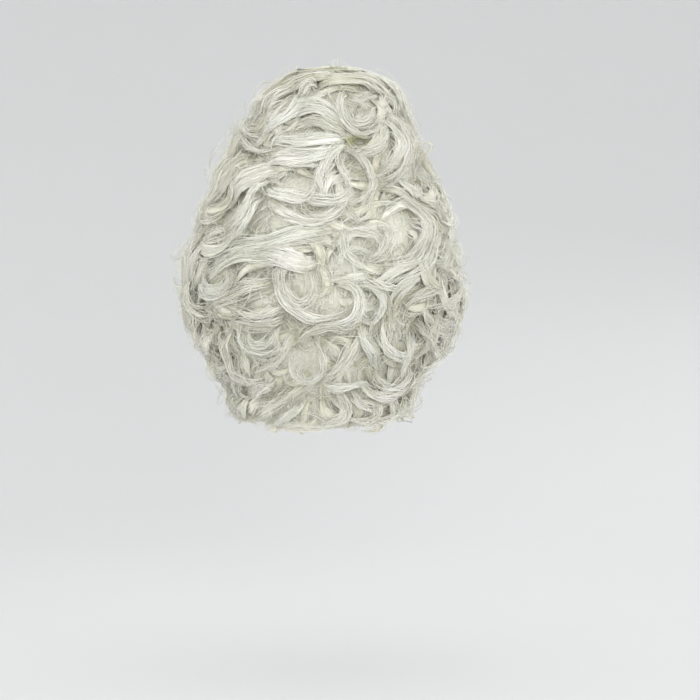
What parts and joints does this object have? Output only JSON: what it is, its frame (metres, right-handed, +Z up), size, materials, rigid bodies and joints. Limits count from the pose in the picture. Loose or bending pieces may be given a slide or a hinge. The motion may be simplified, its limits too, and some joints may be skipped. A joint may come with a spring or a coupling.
{
  "type": "powdered wig",
  "caption": "Tall dress wig of piled white curls on a soft fitted cap, open below and at the face, full at the back and sides and gathered in at the nape.",
  "frame": {"origin": "where the crown of the head touches the inside of the cap", "axes": "+Z up, -Y the way the face looks, +Y the back of the head, +X the wearer's left"},
  "size_m": [0.2874, 0.2617, 0.358],
  "materials": {
    "cap_net": "soft open net with sewn bands",
    "white_hair": "fine curled fibre with a satin sheen"
  },
  "bodies": {
    "root": {"cap": "cap_net", "crown_pile": "white_hair", "front_sweep": "white_hair", "upper_back_curls": "white_hair", "left_temple_curls": "white_hair", "right_temple_curls": "white_hair", "middle_back_curls": "white_hair", "left_cheek_curls": "white_hair", "right_cheek_curls": "white_hair", "lower_back_curls": "white_hair", "nape_curls": "white_hair"}
  },
  "joints": []
}
